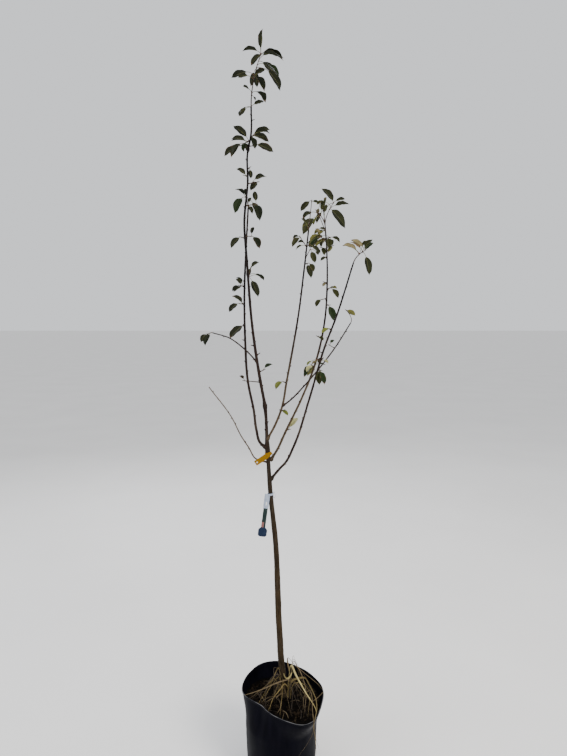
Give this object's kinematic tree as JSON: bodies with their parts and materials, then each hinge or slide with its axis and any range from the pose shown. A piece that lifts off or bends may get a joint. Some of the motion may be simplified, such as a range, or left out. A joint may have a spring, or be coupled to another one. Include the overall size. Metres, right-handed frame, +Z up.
{
  "type": "potted fruit tree sapling",
  "caption": "Slim young fruit tree with upright pruned boughs and sparse folded autumn leaves, standing in a thin black nursery pot of potting mix.",
  "frame": {"origin": "centre of the pot's flat underside", "axes": "+Z up, +X to the right and +Y away, as seen from the picture's side"},
  "size_m": [0.528, 0.3013, 2.4046],
  "materials": {
    "pot_plastic": "soft satin black",
    "potting_mix": "rough, damp bark mix",
    "trunk_bark": "smooth bark with a dull sheen",
    "bough_bark": "smooth young bark with a dull sheen",
    "leaf_olive": "leathery, slightly glossy above",
    "leaf_yellow": "leathery, slightly glossy above",
    "tag_plastic": "smooth printed plastic, left blank",
    "label_plastic": "satin yellow plastic, left blank"
  },
  "bodies": {
    "root": {"pot": "pot_plastic", "soil": "potting_mix", "trunk": "trunk_bark", "bough_left": "bough_bark", "bough_low_left": "bough_bark", "bough_mid_left": "bough_bark", "bough_inner": "bough_bark", "bough_cross": "bough_bark", "bough_right_back": "bough_bark", "bough_right_front": "bough_bark", "leaves_top": "leaf_olive", "leaves_upper_left": "leaf_olive", "leaves_upper_right": "leaf_olive", "leaves_upper_low": "leaf_olive", "leaves_high_left": "leaf_olive", "leaves_high_middle": "leaf_olive", "leaves_high_right": "leaf_olive", "leaves_left_tip": "leaf_olive", "leaves_mid_right": "leaf_olive", "leaves_mid_left": "leaf_olive", "leaves_lower_right": "leaf_olive", "leaves_olive_right": "leaf_olive", "leaves_left_upper": "leaf_olive", "leaves_left_middle": "leaf_olive", "leaves_left_lower": "leaf_olive", "leaves_low_right": "leaf_olive", "twig_low_left": "leaf_olive", "leaves_mid_left_tip": "leaf_olive", "leaves_inner_tip": "leaf_yellow", "leaves_inner_left": "leaf_yellow", "leaves_inner_high": "leaf_yellow", "leaves_inner_right": "leaf_yellow", "leaves_inner_mid": "leaf_yellow", "leaves_back_tip": "leaf_yellow", "leaves_back_left": "leaf_yellow", "leaves_back_middle": "leaf_yellow", "leaves_back_right": "leaf_yellow", "leaves_back_mid_left": "leaf_yellow", "leaves_back_low_left": "leaf_yellow", "leaves_back_low_right": "leaf_yellow", "leaves_back_hanging": "leaf_yellow", "leaves_front_tip": "leaf_yellow", "leaves_cross_tip": "leaf_yellow", "leaves_inner_fork": "leaf_yellow", "leaves_inner_low": "leaf_yellow", "leaves_back_foot": "leaf_yellow", "leaves_front_hanging": "leaf_yellow", "leaves_back_crossing": "leaf_yellow", "leaves_back_upper": "leaf_yellow", "leaves_front_upper": "leaf_yellow", "leaves_cross_mid": "leaf_yellow", "hang_tag": "tag_plastic", "yellow_label": "label_plastic"}
  },
  "joints": []
}
